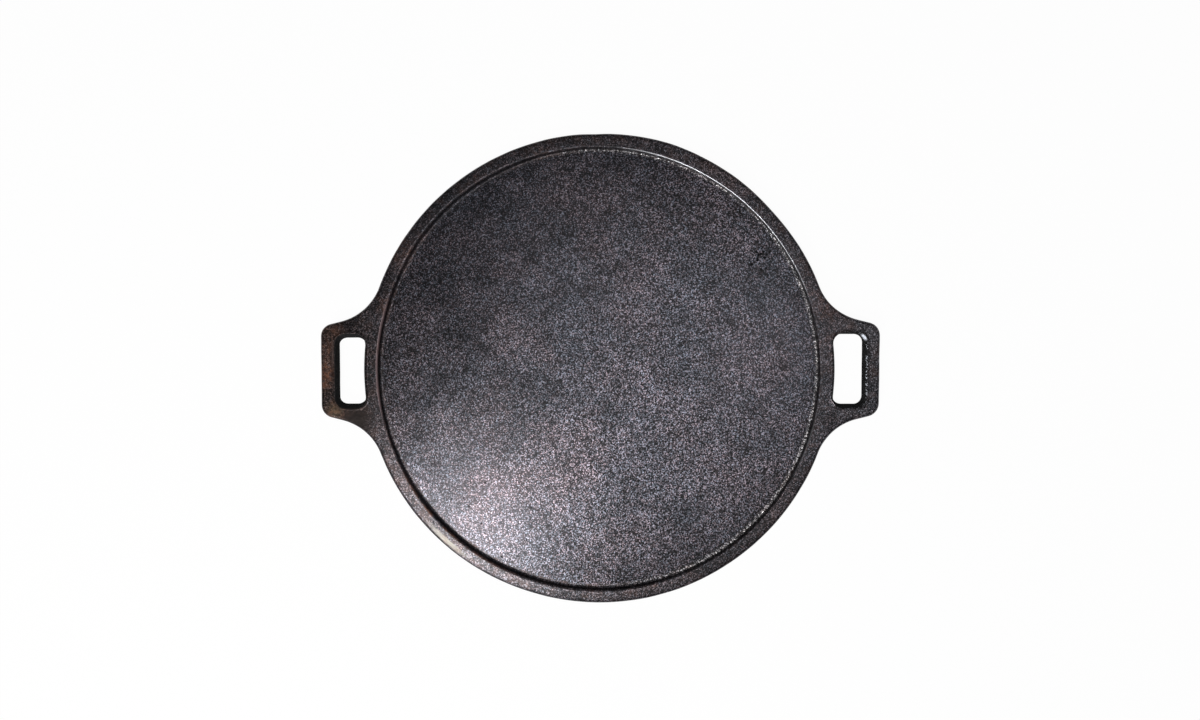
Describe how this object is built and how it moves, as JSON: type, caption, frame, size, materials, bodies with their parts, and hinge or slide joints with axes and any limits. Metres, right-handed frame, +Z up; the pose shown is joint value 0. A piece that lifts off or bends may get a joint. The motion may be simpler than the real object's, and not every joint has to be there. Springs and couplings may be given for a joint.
{
  "type": "tawa",
  "caption": "Flat round cast-iron griddle with a shallow recessed cooking face inside a low rim and a cast loop handle on each side.",
  "frame": {"origin": "centre of the round plate's flat underside", "axes": "+X towards the handle on the right of the picture, along the line through both handles; +Z up, out of the cooking face; +Y away from the cook"},
  "size_m": [0.3627, 0.305, 0.0085],
  "materials": {
    "seasoned_iron": "seasoned cooking face, fine sand-cast grain, satin sheen",
    "rim_iron": "seasoned, fine sand-cast grain, satin",
    "left_handle_iron": "sand-cast grain with brown rust bloom, satin",
    "right_handle_iron": "sand-cast grain, satin"
  },
  "bodies": {
    "root": {"griddle_plate": "seasoned_iron", "rim": "rim_iron", "left_handle": "left_handle_iron", "right_handle": "right_handle_iron"}
  },
  "joints": []
}
